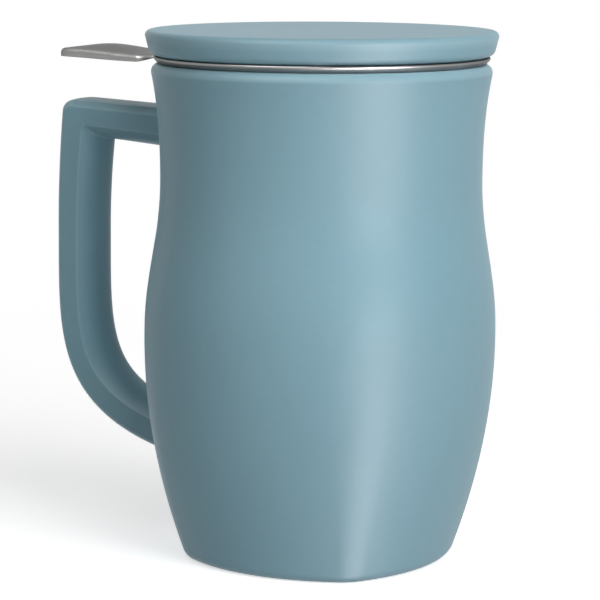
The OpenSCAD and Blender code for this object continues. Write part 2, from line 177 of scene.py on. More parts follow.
def put(name, verts, faces, body, replaced, materials, sharp=40.0):
    """A smooth piece from millimetre points, riding on a body and standing for a CAD node. Edges
    that turn by more than sharp stay crisp."""
    mesh = bpy.data.meshes.new(name)
    mesh.from_pydata([Vector(v) * MM for v in verts], [], faces)
    bm = bmesh.new()
    bm.from_mesh(mesh)
    bmesh.ops.remove_doubles(bm, verts=bm.verts, dist=WELD)
    bmesh.ops.recalc_face_normals(bm, faces=bm.faces)
    bm.to_mesh(mesh)
    bm.free()
    mesh.polygons.foreach_set("use_smooth", [True] * len(mesh.polygons))
    mesh.set_sharp_from_angle(angle=math.radians(sharp))
    for material in materials:
        mesh.materials.append(material)
    piece = bpy.data.objects.new(name, mesh)
    bpy.context.scene.collection.objects.link(piece)
    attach(piece, body)
    if replaced:
        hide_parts(replaced)
    return piece


def skin(rings, closed=True):
    """Quads between neighbouring rings of as many points each."""
    n = len(rings[0])
    last = n if closed else n - 1
    return [(k * n + i, k * n + (i + 1) % n, (k + 1) * n + (i + 1) % n, (k + 1) * n + i)
            for k in range(len(rings) - 1) for i in range(last)]


def closed_skin(rings):
    """Points and faces of a skin whose two ends are closed by fans."""
    n = len(rings[0])
    verts = [p for ring in rings for p in ring]
    faces = skin(rings)
    for start, ring in ((0, rings[0]), ((len(rings) - 1) * n, rings[-1])):
        middle = sum((Vector(p) for p in ring), Vector()) / n
        faces += [(start + i, start + (i + 1) % n, len(verts)) for i in range(n)]
        verts.append(tuple(middle))
    return verts, faces


def turned(profile, ends=False):
    """Points and faces of a closed outline of (radius, height) turned round the Z axis. With ends,
    the outline runs from near the axis back to near it, and both its ends are closed."""
    angles = steps(0, 360, TURN_STEPS)[:-1]
    rings = [[(r * cos(a), r * sin(a), z) for a in angles] for r, z in profile]
    if ends:
        return closed_skin(rings)
    n, last = TURN_STEPS, (len(rings) - 1) * TURN_STEPS
    join = [(last + i, last + (i + 1) % n, (i + 1) % n, i) for i in range(n)]
    return [p for ring in rings for p in ring], skin(rings) + join


# ---- mug body ------------------------------------------------------------------------------------


def body_r(z):
    """Half width of the body across its sides at a height."""
    if z < BELLY_Z:
        return hermite(z / BELLY_Z, FOOT_R, FOOT_FLARE, BELLY_R, 0, BELLY_Z)
    if z < WAIST_Z:
        span = WAIST_Z - BELLY_Z
        return hermite((z - BELLY_Z) / span, BELLY_R, 0, WAIST_R, 0, span)
    span = MUG_H - WAIST_Z
    return hermite((z - WAIST_Z) / span, WAIST_R, 0, RIM_R, RIM_FLARE, span)


def squareness(z):
    """0 where the section is round, and 1 at the foot."""
    return max(0, 1 - z / SQUARE_Z)


# At the foot, with a half width of 1: how far out the centre of a corner's arc lies, and the angle
# at which the wide arc of a side goes over into it.
CORNER_OUT = (math.sqrt(4 * (SIDE_FLAT + CORNER_TIGHT) ** 2 - 2 * SIDE_FLAT**2)
              - math.sqrt(2) * SIDE_FLAT) / 2
SIDE_ANGLE = math.degrees(math.atan2(CORNER_OUT / math.sqrt(2),
                                     CORNER_OUT / math.sqrt(2) + SIDE_FLAT))


def quarter_pt(r, s, inset, a):
    """Point of a rounded square of half width r and squareness s, where its wall faces angle a."""
    side_r, corner_r = r * (1 + SIDE_FLAT * s), r * (1 - CORNER_TIGHT * s)
    q = r * s * CORNER_OUT / math.sqrt(2)
    if a < SIDE_ANGLE:
        return (side_r - inset) * cos(a) - (side_r - r), (side_r - inset) * sin(a)
    if a > 90 - SIDE_ANGLE:
        return (side_r - inset) * cos(a), (side_r - inset) * sin(a) - (side_r - r)
    return q + (corner_r - inset) * cos(a), q + (corner_r - inset) * sin(a)


def section(z, inset, at_z):
    """The body's section at height z, moved inwards by inset and drawn at height at_z."""
    ring = []
    for i in range(AROUND):
        a = 360 * i / AROUND
        turn = 90 * (a // 90)
        x, y = quarter_pt(body_r(z), squareness(z), inset, a - turn)
        ring.append((x * cos(turn) - y * sin(turn), x * sin(turn) + y * cos(turn), at_z))
    return ring


def edge_rings(z, inset, r, lean, centre_z, a0, a1):
    """Rings of a rounded edge of radius r that touches the wall, which leans there, at height z."""
    return [section(z, inset + r * (cos(lean) - cos(a)), centre_z + r * sin(a))
            for a in steps(a0, a1, EDGE_STEPS)]


def circle_ring(r, z):
    """A round ring of as many points as the body's sections have."""
    return [(r * cos(360 * i / AROUND), r * sin(360 * i / AROUND), z) for i in range(AROUND)]


def mug_body():
    """From the middle of the recess, up the outside and over the rim to the middle of the floor."""
    foot_lean = math.degrees(math.atan(FOOT_FLARE))
    rim_lean = math.degrees(math.atan(RIM_FLARE))
    floor_z = FOOT_RECESS + FLOOR_T
    fillet_z = floor_z + FLOOR_FILLET
    inner_lean = math.degrees(math.atan((body_r(fillet_z) - body_r(floor_z)) / FLOOR_FILLET))
    foot_z = FOOT_EDGE * (1 - sin(foot_lean))
    rim_z = MUG_H - RIM_EDGE * (1 + sin(rim_lean))
    inner_top = MUG_H - RIM_LIP
    inner_low = floor_z + FLOOR_FILLET * (1 - sin(inner_lean))
    recess_r = FOOT_R - FOOT_EDGE - FOOT_RING
    flat_r = recess_r - RECESS_EDGE
    recess = [circle_ring(r, FOOT_RECESS) for r in steps(POLE, flat_r, DISC_RINGS)]
    recess += [circle_ring(r, z) for r, z in
               arc(flat_r, FOOT_RECESS - RECESS_EDGE, RECESS_EDGE, 90, 0, RECESS_STEPS)[1:]
               + arc(recess_r + RECESS_EDGE, RECESS_EDGE, RECESS_EDGE, 180, 270, RECESS_STEPS)]
    foot = edge_rings(foot_z, 0, FOOT_EDGE, foot_lean, FOOT_EDGE, -90, -foot_lean)
    outer = [section(z, 0, z) for z in steps(foot_z, rim_z, SIDE_RINGS)[1:-1]]
    rim = edge_rings(rim_z, 0, RIM_EDGE, rim_lean, MUG_H - RIM_EDGE, -rim_lean, 90)
    lip = edge_rings(inner_top, WALL, RIM_LIP, 180, inner_top, 90, 180)
    inner = [section(z, WALL, z) for z in steps(inner_top, inner_low, SIDE_RINGS)[1:-1]]
    fillet = edge_rings(inner_low, WALL, FLOOR_FILLET, inner_lean, fillet_z, -inner_lean, -90)
    last_inset = WALL + FLOOR_FILLET * cos(inner_lean)
    inside = [section(inner_low, inset, floor_z)
              for inset in steps(last_inset, last_inset + FLOOR_REACH, DISC_RINGS)[1:]]
    verts, faces = closed_skin(recess + foot + outer + rim + lip + inner + fillet + inside)
    piece = put("mug_body_glazed", verts, faces, "mug", "mug_body",
                [glaze(), stoneware()])
    for face in piece.data.polygons:
        if face.center.z < BARE_Z * MM:
            face.material_index = 1
    return piece


# ---- handle --------------------------------------------------------------------------------------


def side_x(y, z):
    """Where the body's -X side lies at a distance y from the middle and a height z."""
    r = body_r(z)
    side_r = r * (1 + SIDE_FLAT * squareness(z))
    return (side_r - r) - math.sqrt(side_r**2 - y**2)


HANDLE_T = HANDLE_FLAT + HANDLE_BULGE
TOP_X = HANDLE_LEAN - HANDLE_REACH
ARM_X = side_x(0, HANDLE_TOP_Z - ARM_DROP)
SWEEP_X = side_x(0, SWEEP_Z)
SWEEP_WAY = (cos(SWEEP_ANGLE), -sin(SWEEP_ANGLE))
ARM_WAY = (1.0, 0.0)


def handle_outline(across, deep, crown):
    """Points of the section as (depth, distance across, and the normal's two parts): the crowned
    outer face, a bevelled edge, the flat side, the ridge where the bulged inner face begins, and
    the same again mirrored."""
    half_w = HANDLE_W / 2
    crown_w = half_w - across
    steepest = BULGE_POWER * HANDLE_BULGE / half_w
    bevel = math.degrees(math.atan2(deep - crown, -across))
    ridge = math.degrees(math.atan(steepest))
    half = [(crown * k * k, k * crown_w, -1.0, 0.0) for k in CROWN_SHARES]
    for (d, y), a, b in (((crown, crown_w), 180, bevel), ((deep, half_w), bevel, 90),
                         ((HANDLE_FLAT, half_w), 90, ridge)):
        pull = EDGE_SOFT / (1 + cos(a - b))
        d, y = d - pull * (cos(a) + cos(b)), y - pull * (sin(a) + sin(b))
        half += [(d + EDGE_SOFT * cos(t), y + EDGE_SOFT * sin(t), cos(t), sin(t))
                 for t in steps(a, b, CREASE_STEPS)]
        if b == 90:
            side = (deep + SIDE_MARGIN, (deep + HANDLE_FLAT) / 2, HANDLE_FLAT - SIDE_MARGIN)
            half += [(t, half_w, 0.0, 1.0) for t in side]
    for y in steps(half_w - EDGE_SOFT, 0, BULGE_STEPS):
        depth = HANDLE_T - HANDLE_BULGE * (y / half_w) ** BULGE_POWER
        slope = steepest * (y / half_w) ** (BULGE_POWER - 1)
        long = math.hypot(1, slope)
        half.append((depth, y, 1 / long, slope / long))
    return half + [(d, -y, nd, -ny) for d, y, nd, ny in half[-2::-1]]


def outline(u):
    """The section at the share u of the way round the corner, from the arm to the leg."""
    return handle_outline(*(a + (b - a) * u for a, b in zip(ARM_EDGE, LEG_EDGE)))


def corner_pt(d, a):
    """The limbs meet in a mitre: each depth d has a corner arc of its own."""
    r = HANDLE_CORNER + (HANDLE_MITRE - HANDLE_CORNER) * d / HANDLE_T
    return TOP_X + d + r * (1 + cos(a)), HANDLE_TOP_Z - d - r * (1 - sin(a))


def corner_ring(a):
    """One ring of the corner, where a runs from 90 at the arm to 180 at the leg."""
    return [(corner_pt(d, a)[0], y, corner_pt(d, a)[1]) for d, y, _, _ in outline(a / 90 - 1)]


def arm_ring(u, grow=0.0):
    """One ring of the arm, at the share u of the way from the body to the corner's first ring."""
    share, outer_z = ARM_TAPER + (1 - ARM_TAPER) * u, HANDLE_TOP_Z - ARM_DROP * (1 - u)
    return [(ARM_X + (corner_pt(d, 90)[0] - ARM_X) * u, y + ny * grow,
             outer_z - d * share - nd * grow) for d, y, nd, ny in outline(0)]


def leg_ring(u):
    """One ring of the upper leg, at the share u of the way down from the corner's last ring to the
    outermost point, which it reaches upright."""
    ring = []
    for d, y, _, _ in outline(1):
        x, z = corner_pt(d, 180)
        ring.append((x - HANDLE_LEAN * (2 * u - u * u), y, z + (HANDLE_MID_Z - z) * u))
    return ring


def path_ring(at, way, grow=0.0):
    """One ring square to the path where it passes at and runs along way."""
    length = math.hypot(*way)
    nx, nz = -way[1] / length, way[0] / length
    return [(at[0] + nx * (d + nd * grow), y + ny * grow, at[1] + nz * (d + nd * grow))
            for d, y, nd, ny in outline(1)]


def seat(ring, way):
    """A ring carried on along way until it lies on the body's side."""
    for _ in range(SEAT_ROUNDS):
        ring = [(side_x(y, z), y, z + (side_x(y, z) - x) * way[1] / way[0]) for x, y, z in ring]
    return ring


def joint_rings(ring_at, way):
    """The fillet between the handle and the body, from the body outwards. ring_at gives the limb's
    last ring, grown by a distance."""
    rings = []
    for a in steps(0, 90, JOINT_STEPS):
        grow, back = JOINT_FILLET * (1 - sin(a)), JOINT_FILLET * (1 - cos(a))
        rings.append([(x - back * way[0], y, z - back * way[1])
                      for x, y, z in seat(ring_at(grow), way)])
    return rings


def handle():
    """From the body along the arm, round the corner, down the leg and in along the sweep."""
    drop = HANDLE_MID_Z - SWEEP_Z
    hold, arrive = SWEEP_HOLD * drop, SWEEP_ARRIVE * drop
    sweep = [(-HANDLE_REACH, HANDLE_MID_Z), (-HANDLE_REACH, HANDLE_MID_Z - hold),
             (SWEEP_X - arrive * SWEEP_WAY[0], SWEEP_Z - arrive * SWEEP_WAY[1]),
             (SWEEP_X, SWEEP_Z)]
    rings = joint_rings(lambda grow: arm_ring(0, grow), ARM_WAY)
    rings += [arm_ring(u) for u in steps(0, 1, ARM_RINGS)[ARM_SKIP:-1]]
    rings += [corner_ring(a) for a in steps(90, 180, CORNER_RINGS)]
    rings += [leg_ring(u) for u in steps(0, 1, LEG_RINGS)[1:]]
    rings += [path_ring(*cubic(sweep, t)) for t in steps(0, 1, SWEEP_RINGS)[1:-SWEEP_SKIP]]
    rings += joint_rings(lambda grow: path_ring(sweep[-1], SWEEP_WAY, grow), SWEEP_WAY)[::-1]
    verts, faces = closed_skin(rings)
    return put("handle_glazed", verts, faces, "mug", "handle", [glaze()], sharp=50.0)


# ---- lid and infuser -----------------------------------------------------------------------------

COLLAR_R = body_r(COLLAR_LOW) - WALL - COLLAR_GAP


def lid():
    """From the middle of the top, round the edge and the locating ring, to the middle below."""
    top = BEAD_TOP + LID_T
    edge_r, side_r = LID_R - LID_EDGE, LID_R - LID_TAPER
    ring_r = COLLAR_R - SHEET - LID_GAP
    inner_r = ring_r - LID_RING_T
    ring_low = BEAD_TOP - LID_RING_H + LID_RING_EDGE
    profile = [(r, top) for r in steps(POLE, edge_r, LID_RINGS)[:-1]]
    profile += arc(edge_r, top - LID_EDGE, LID_EDGE, 90, 0)
    profile += arc(side_r - LID_LOW_EDGE, BEAD_TOP + LID_LOW_EDGE + LID_LOW_RISE, LID_LOW_EDGE,
                   *LID_LOW_ARC)
    profile += [(side_r - LID_BEVEL_W, BEAD_TOP), (ring_r, BEAD_TOP)]
    profile += arc(ring_r - LID_RING_EDGE, ring_low, LID_RING_EDGE, 0, -90)
    profile += arc(inner_r + LID_RING_EDGE, ring_low, LID_RING_EDGE, -90, -180)
    profile += [(r, BEAD_TOP) for r in steps(inner_r, POLE, DISC_RINGS)]
    verts, faces = turned(profile, ends=True)
    return put("lid_glazed", verts, faces, "lid", "lid", [glaze()])


def infuser_rim():
    """The flange: a rolled bead outside, a flat ledge and the bend down into the collar. Each arc
    ends in its two angles and its steps."""
    bend = 2 * SHEET
    bend_r, step_r = COLLAR_R - SHEET + bend, BEAD_R - BEAD_W + BEAD_BEND
    profile = arc(BEAD_R - BEAD_FOOT, MUG_H + BEAD_ROLL / 2, BEAD_ROLL / 2, -90, -45, 4)
    profile += arc(BEAD_R - BEAD_ROLL, BEAD_TOP - BEAD_DIP - BEAD_ROLL, BEAD_ROLL, -45, 75, 14)
    profile += arc(step_r, BEAD_TOP - BEAD_BEND, BEAD_BEND, 80, 90, 2)
    profile += arc(bend_r, BEAD_TOP - bend, bend, 90, 180, 8)
    profile += arc(bend_r, BEAD_TOP - bend, bend - SHEET, 180, 90, 6)
    profile += [(BEAD_R - BEAD_W, BEAD_TOP - SHEET)]
    profile += arc(step_r, MUG_H + BEAD_BEND, BEAD_BEND, 180, 270, 4)
    verts, faces = turned(profile)
    return put("infuser_rim_steel", verts, faces, "infuser", "infuser_rim",
               [turned_steel()])


TAB_NECK_END = BEAD_R + TAB_NECK_LEN
TAB_WIDE = TAB_NECK_END + TAB_SHOULDER
TAB_TIP_START = TAB_REACH - TAB_TIP
TAB_BACK = TAB_TIP_START - DOME_BACK


def tab_top(x):
    """Height of the tab's edge at a distance x from the mug's axis."""
    return (MUG_H + TAB_LIFT + TAB_RISE * ease(x, TAB_NECK_END, TAB_TIP_START)
            - TAB_DROOP * ease(x, TAB_TIP_START, TAB_REACH))


def tab_low(x):
    """Height of the lower edge of the folded sides."""
    return (MUG_H + TAB_LIFT - SHEET - (TAB_SKIRT - SHEET) * ease(x, TAB_NECK_END, TAB_WIDE)
            + SKIRT_RISE * ease(x, TAB_WIDE, TAB_REACH))


def tab_plan():
    """The tab's outline seen from above, from the root along one side to the middle of the tip."""
    along = (steps(BEAD_R - BEAD_H / 2, TAB_NECK_END, NECK_STEPS)[:-1]
             + steps(TAB_NECK_END, TAB_WIDE, TAB_STEPS)[:-1]
             + steps(TAB_WIDE, TAB_TIP_START, TAB_STEPS)[:-1])
    plan = [(x, (TAB_NECK + (TAB_W - TAB_NECK) * ease(x, TAB_NECK_END, TAB_WIDE)) / 2)
            for x in along]
    plan += arc(TAB_TIP_START, TAB_W / 2 - TAB_TIP, TAB_TIP, 90, 0, TIP_STEPS)
    return plan + [(TAB_REACH, y) for y in steps(TAB_W / 2 - TAB_TIP, 0, END_STEPS)[1:]]


def lift_tab():
    """A folded sheet: its top, its edges folded down all round, and the same again inside it."""
    half = tab_plan()
    plan = half + [(x, -y) for x, y in half[-2::-1]]
    normals = []
    for i in range(len(plan)):
        a, b = Vector(plan[max(i - 1, 0)]), Vector(plan[min(i + 1, len(plan) - 1)])
        way = (b - a).normalized()
        normals.append((-way.y, way.x))

    def ring(inner, a):
        """a is None at the lower edge of the folded sides, and else the angle round the fold."""
        points = []
        for (x, y), (nx, ny) in zip(plan, normals):
            top, low = tab_top(x), tab_low(x)
            fold = min(TAB_FOLD, top - low)
            r = fold - SHEET if inner else fold
            inset = SHEET if inner else 0.0
            z = low
            if a is not None:
                inset += r * (1 - cos(a))
                z = top - fold + r * sin(a)
            points.append((-(x - nx * inset), y - ny * inset, z))
        return points

    def dome(inner, k):
        """The top inside the fold: the fold's own ring drawn in to the share k of its width."""
        points = []
        for x, y, _ in ring(inner, 90):
            r = min(-x, TAB_BACK) + max(-x - TAB_BACK, 0) * k
            swell = ease(r, TAB_NECK_END, DOME_PEAK) * (1 - ease(r, DOME_PEAK, TAB_REACH))
            points.append((-r, y * k, tab_top(r) - SHEET * inner + TAB_DOME * swell * (1 - k * k)))
        return points

    rings = [dome(False, k) for k in DOME_SHARES]
    rings += [ring(False, a) for a in steps(90, 0, FOLD_STEPS)] + [ring(False, None)]
    rings += [ring(True, None)] + [ring(True, a) for a in steps(0, 90, FOLD_STEPS)]
    rings += [dome(True, k) for k in DOME_SHARES[::-1]]
    verts = [p for r in rings for p in r]
    faces = skin(rings, closed=False)
    n, m = len(plan), len(half)
    starts = [k * n for k in range(len(rings))]
    for s in (starts[0], starts[-1]):
        faces += [(s + i, s + i + 1, s + n - 2 - i, s + n - 1 - i) for i in range(m - 2)]
        faces.append((s + m - 2, s + m - 1, s + m))
    faces.append(tuple(starts + [s + n - 1 for s in starts[::-1]]))
    return put("lift_tab_steel", verts, faces, "infuser", None, [straight_steel()])


def wall_r(z):
    """Outer radius of the basket's wall at a height."""
    return BASKET_R + (COLLAR_R - BASKET_R) * (z - BASKET_Z) / (COLLAR_LOW - BASKET_Z)


def basket_collar():
    """The plain band between the flange and the perforated wall."""
    inner_r, top = COLLAR_R - SHEET, BEAD_TOP - 2 * SHEET
    verts, faces = turned([(COLLAR_R, COLLAR_LOW), (COLLAR_R, top),
                           (inner_r, top), (inner_r, COLLAR_LOW)])
    return put("basket_collar_steel", verts, faces, "infuser", "basket_collar",
               [turned_steel()])


def basket_wall():
    """A tapering sheet with staggered rows of round holes. A cell round each hole is two by two
    steps of a grid, and the cells of the next row start half a cell further on."""
    columns = int(2 * math.pi * BASKET_R / HOLE_PITCH)
    low, high = BASKET_Z + HOLE_MARGIN, COLLAR_LOW - HOLE_MARGIN
    rows = int((high - low) / HOLE_PITCH)
    row_h = (high - low) / rows
    verts, faces = [], []

    def point(u, z, inner):
        """u counts half cells round the wall."""
        a = 180 * u / columns
        r = wall_r(z) - (SHEET if inner else 0)
        verts.append((r * cos(a), r * sin(a), z))
        return len(verts) - 1

    def circle(z, inner):
        return [point(u, z, inner) for u in range(2 * columns)]

    def band(a, b, flip=False):
        """Quads between two closed rows of as many points each."""
        n = len(a)
        quads = [(a[k], a[(k + 1) % n], b[(k + 1) % n], b[k]) for k in range(n)]
        faces.extend(quad[::-1] if flip else quad for quad in quads)

    for j in range(rows):
        z0, zm, z1 = low + j * row_h, low + (j + 0.5) * row_h, low + (j + 1) * row_h
        cell = ((2, zm), (2, z1), (1, z1), (0, z1), (0, zm), (0, z0), (1, z0), (2, z0))
        half_cell = math.pi * wall_r(zm) / columns
        for i in range(columns):
            u = 2 * i + j % 2
            holes = []
            for inner in (False, True):
                border = [point(u + across, z, inner) for across, z in cell]
                hole = [point(u + 1 + HOLE_R * cos(a) / half_cell, zm + HOLE_R * sin(a), inner)
                        for a in steps(0, 360, HOLE_SIDES)[:-1]]
                band(border, hole, inner)
                holes.append(hole)
            band(*holes)
    for levels in (steps(BASKET_Z, low, BAND_STEPS), steps(high, COLLAR_LOW, BAND_STEPS)):
        for inner in (False, True):
            circles = [circle(z, inner) for z in levels]
            for a, b in zip(circles, circles[1:]):
                band(a, b, inner)
    for z in (BASKET_Z, COLLAR_LOW):
        band(circle(z, False), circle(z, True))
    return put("basket_wall_steel", verts, faces, "infuser", "basket_wall",
               [turned_steel()], sharp=30.0)


def basket_floor():
    """A perforated disc, filled between its outer circle and its holes."""
    curve = bpy.data.curves.new("floor_outline", "CURVE")
    curve.dimensions = "2D"
    curve.fill_mode = "BOTH"
    curve.extrude = SHEET / 2 * MM
    reach = BASKET_R - HOLE_MARGIN
    row_h = HOLE_PITCH * math.sqrt(3) / 2
    rows = int(reach / row_h)
    circles = [(0, 0, BASKET_R, DISC_SIDES)]
    for j in range(-rows, rows + 1):
        for i in range(-rows - 2, rows + 3):
            x, y = (i + (j % 2) / 2) * HOLE_PITCH, j * row_h
            if math.hypot(x, y) < reach:
                circles.append((x, y, HOLE_R, HOLE_SIDES))
    for x, y, r, n in circles:
        spline = curve.splines.new("POLY")
        spline.points.add(n - 1)
        for point, (px, py) in zip(spline.points, arc(x, y, r, 0, 360, n)):
            point.co = (px * MM, py * MM, 0, 1)
        spline.use_cyclic_u = True
    drawn = bpy.data.objects.new("floor_outline", curve)
    bpy.context.scene.collection.objects.link(drawn)
    bpy.context.view_layer.update()
    graph = bpy.context.evaluated_depsgraph_get()
    flat = bpy.data.meshes.new_from_object(drawn.evaluated_get(graph))
    bpy.data.objects.remove(drawn)
    verts = [(v.co.x / MM, v.co.y / MM, v.co.z / MM + BASKET_Z - SHEET / 2) for v in flat.vertices]
    faces = [tuple(f.vertices) for f in flat.polygons]
    bpy.data.meshes.remove(flat)
    return put("basket_floor_steel", verts, faces, "infuser", "basket_floor",
               [straight_steel()], sharp=30.0)


# ---- materials -----------------------------------------------------------------------------------

# Pairs run from the low end of a noise to its high end, as ramps do over one of these stretches.
NARROW, WIDE = (0.35, 0.65), (0.3, 0.7)
GLAZE_TONES = (0.213, 0.373, 0.441), (0.228, 0.395, 0.465)
GLAZE_GLOSS = 0.41, 0.46
STONE_TONES = (0.56, 0.52, 0.45), (0.68, 0.64, 0.57)
# The steel's colour, set far darker than bare stainless steel: painted shade for the dark
# surroundings that it mirrors.
STEEL = (0.24, 0.24, 0.237)
STEEL_TONES = 0.86, 1.1        # shares of STEEL
STEEL_GLOSS = 0.26, 0.40

# The paler tone of sharp edges: partly where the glaze breaks thin, partly a painted highlight for
# the bright lines that the edges catch.
GLAZE_BREAK_AND_HIGHLIGHT = (0.300, 0.470, 0.535)
BREAK_AND_HIGHLIGHT_RANGE = 0.511, 0.521      # the pointiness at which the edge's tone begins and is full
STEEL_EDGE = (0.5, 0.5, 0.5)   # how bright it stays where it is seen at a low angle
TURNED_LINES = 40.0, 9000.0    # how fine the brushing is along its lines, and across them
STRAIGHT_LINES = 60.0, 5000.0

COLOUR_A, COLOUR_B, COLOUR_OUT = 6, 7, 2  # the sockets of a Mix node that carry colour


def wire(node, links=(), **values):
    """Sets a node's inputs or settings, and links other nodes' outputs into it."""
    for key, value in values.items():
        if key in node.inputs:
            node.inputs[key].default_value = value
        else:
            setattr(node, key, value)
    for key, source in dict(links).items():
        node.id_data.links.new(source, node.inputs[key])
    return node


def adder(tree):
    """A function that adds wired nodes to a tree, which is emptied first."""
    tree.nodes.clear()
    return lambda kind, links=(), **values: wire(tree.nodes.new(kind), links, **values)


def new_material(name):
    """A material with nothing but its output and its Principled shader, both of these, and a
    function that adds nodes to it."""
    material = bpy.data.materials.new(name)
    material.use_nodes = True
    add = adder(material.node_tree)
    out = add("ShaderNodeOutputMaterial")
    shader = add("ShaderNodeBsdfPrincipled")
    wire(out, {"Surface": shader.outputs["BSDF"]})
    return material, out, shader, add


def ramp(add, source, places, colours):
    """The colour output of a ramp between two places."""
    node = add("ShaderNodeValToRGB", {"Fac": source})
    for element, place, colour in zip(node.color_ramp.elements, places, colours):
        element.position = place
        element.color = (*colour, 1)
    return node.outputs["Color"]


def greys(*values):
    """One grey for each value."""
    return [(v, v, v) for v in values]


@functools.cache
def glaze():
    """Satin blue-grey glaze: slow drifts of tone, a fine mottle, a paler tone on the edges that is
    partly the glaze breaking thin and partly a painted highlight, and a skin of tiny ripples."""
    material, _, shader, add = new_material("satin_glaze")
    place = add("ShaderNodeTexCoord").outputs["Object"]
    drift = add("ShaderNodeTexNoise", {"Vector": place}, Scale=22.0, Detail=3.0, Roughness=0.5)
    mottle = add("ShaderNodeTexNoise", {"Vector": place}, Scale=520.0, Detail=4.0, Roughness=0.6)
    both = add("ShaderNodeMix", {"A": drift.outputs["Fac"], "B": mottle.outputs["Fac"]},
               Factor=0.35)
    tone = ramp(add, both.outputs["Result"], NARROW, GLAZE_TONES)
    point = add("ShaderNodeNewGeometry").outputs["Pointiness"]
    # Sharp edges get the paler tone, part glaze break and part painted highlight.
    edge = ramp(add, point, BREAK_AND_HIGHLIGHT_RANGE, greys(0, 1))
    colour = add("ShaderNodeMix", {0: edge, COLOUR_A: tone}, data_type="RGBA")
    colour.inputs[COLOUR_B].default_value = (*GLAZE_BREAK_AND_HIGHLIGHT, 1)
    gloss = ramp(add, mottle.outputs["Fac"], WIDE, greys(*GLAZE_GLOSS))
    peel = add("ShaderNodeTexNoise", {"Vector": place}, Scale=900.0, Detail=2.0)
    bump = add("ShaderNodeBump", {"Height": peel.outputs["Fac"]}, Strength=0.06, Distance=0.0002)
    wire(shader, {"Base Color": colour.outputs[COLOUR_OUT], "Roughness": gloss,
                  "Normal": bump.outputs["Normal"]}, IOR=1.5)
    shader.inputs["Specular IOR Level"].default_value = 0.18
    return material


def stoneware():
    """The bare body of the foot ring: pale, dry and slightly gritty."""
    material, _, shader, add = new_material("bare_stoneware")
    place = add("ShaderNodeTexCoord").outputs["Object"]
    grain = add("ShaderNodeTexNoise", {"Vector": place}, Scale=1400.0, Detail=3.0)
    tone = ramp(add, grain.outputs["Fac"], NARROW, STONE_TONES)
    bump = add("ShaderNodeBump", {"Height": grain.outputs["Fac"]}, Strength=0.3, Distance=0.0002)
    wire(shader, {"Base Color": tone, "Normal": bump.outputs["Normal"]}, Roughness=0.85)
    return material


def brushed(name, vector_of):
    """Brushed stainless steel, whose fine lines run where vector_of makes its space long."""
    material, _, shader, add = new_material(name)
    vector = vector_of(add)
    lines = add("ShaderNodeTexNoise", {"Vector": vector}, Scale=1.0, Detail=4.0, Roughness=0.65)
    place = add("ShaderNodeTexCoord").outputs["Object"]
    cloud = add("ShaderNodeTexNoise", {"Vector": place}, Scale=120.0, Detail=2.0)
    # The steel's tones, which carry that painted shade.
    tone = ramp(add, lines.outputs["Fac"], WIDE,
                [tuple(share * c for c in STEEL) for share in STEEL_TONES])
    mixed = add("ShaderNodeMix", {"A": lines.outputs["Fac"], "B": cloud.outputs["Fac"]}, Factor=0.4)
    gloss = ramp(add, mixed.outputs["Result"], WIDE, greys(*STEEL_GLOSS))
    bump = add("ShaderNodeBump", {"Height": lines.outputs["Fac"]}, Strength=0.25, Distance=0.00004)
    wire(shader, {"Base Color": tone, "Roughness": gloss, "Normal": bump.outputs["Normal"]},
         Metallic=1.0)
    shader.inputs["Specular Tint"].default_value = (*STEEL_EDGE, 1)
    return material


@functools.cache
def turned_steel():
    """Lines that run round the Z axis, as on a spun piece."""
    def vector_of(add):
        """Slow along X and Y, and fast along the radius and Z."""
        along, across = TURNED_LINES
        place = add("ShaderNodeTexCoord").outputs["Object"]
        parts = add("ShaderNodeSeparateXYZ", {"Vector": place})
        x, y, z = (parts.outputs[k] for k in "XYZ")
        xx = add("ShaderNodeMath", {0: x, 1: x}, operation="MULTIPLY").outputs[0]
        yy = add("ShaderNodeMath", {0: y, 1: y}, operation="MULTIPLY").outputs[0]
        rr = add("ShaderNodeMath", {0: xx, 1: yy}, operation="ADD").outputs[0]
        radius = add("ShaderNodeMath", {0: rr}, operation="SQRT").outputs[0]
        far = add("ShaderNodeCombineXYZ", {"X": x, "Y": y, "Z": radius})
        slow = add("ShaderNodeVectorMath", {0: far.outputs[0]}, operation="MULTIPLY")
        slow.inputs[1].default_value = (along, along, across)
        tall = add("ShaderNodeCombineXYZ", {"Z": z})
        fast = add("ShaderNodeVectorMath", {0: tall.outputs[0]}, operation="MULTIPLY")
        fast.inputs[1].default_value = (0.0, 0.0, across)
        return add("ShaderNodeVectorMath", {0: slow.outputs[0], 1: fast.outputs[0]},
                   operation="ADD").outputs[0]
    return brushed("turned_steel", vector_of)


@functools.cache
def straight_steel():
    """Lines that run along X, as on a strip ground lengthways."""
    def vector_of(add):
        along, across = STRAIGHT_LINES
        place = add("ShaderNodeTexCoord").outputs["Object"]
        long = add("ShaderNodeVectorMath", {0: place}, operation="MULTIPLY")
        long.inputs[1].default_value = (along, across, across)
        return long.outputs[0]
    return brushed("straight_steel", vector_of)


# ---- studio --------------------------------------------------------------------------------------

CAM_SIDE = 32.0        # degrees round from the front, towards +X
CAM_DISTANCE = 749.8   # millimetres from the mug's axis
CAM_HEIGHT = 174.4
CAM_PITCH = 8.165      # degrees that it looks down
CAM_YAW = 0.405        # degrees that it looks to the left of the axis
CAM_ROLL = 0.26
CAM_LENS, CAM_SENSOR = 176.05, 36.0
CAM_CLIP = 0.05, 50.0  # metres

WHITE = (1, 1, 1, 1)
WORLD_LIGHT = 0.05     # what the world adds to the light on dull surfaces
FLOOR_SIZE = 6.0
FLOOR_TONE = 0.85      # the floor's colour in front of the camera
FLOOR_LIFT = 0.575     # the glow added to it, so that only the shadow is darker than white
FLOOR_BOUNCE = 0.6     # its colour for the light that it throws back at the mug
FLOOR_FADE = 0.2, 0.5  # how far out it begins to turn into plain white, and has done so
LAMP_AIM = (0, 0, 0.07)

DULL = {"visible_glossy": False}    # a lamp that makes no highlights
SHINE = {"visible_diffuse": False}  # a lamp that makes nothing else


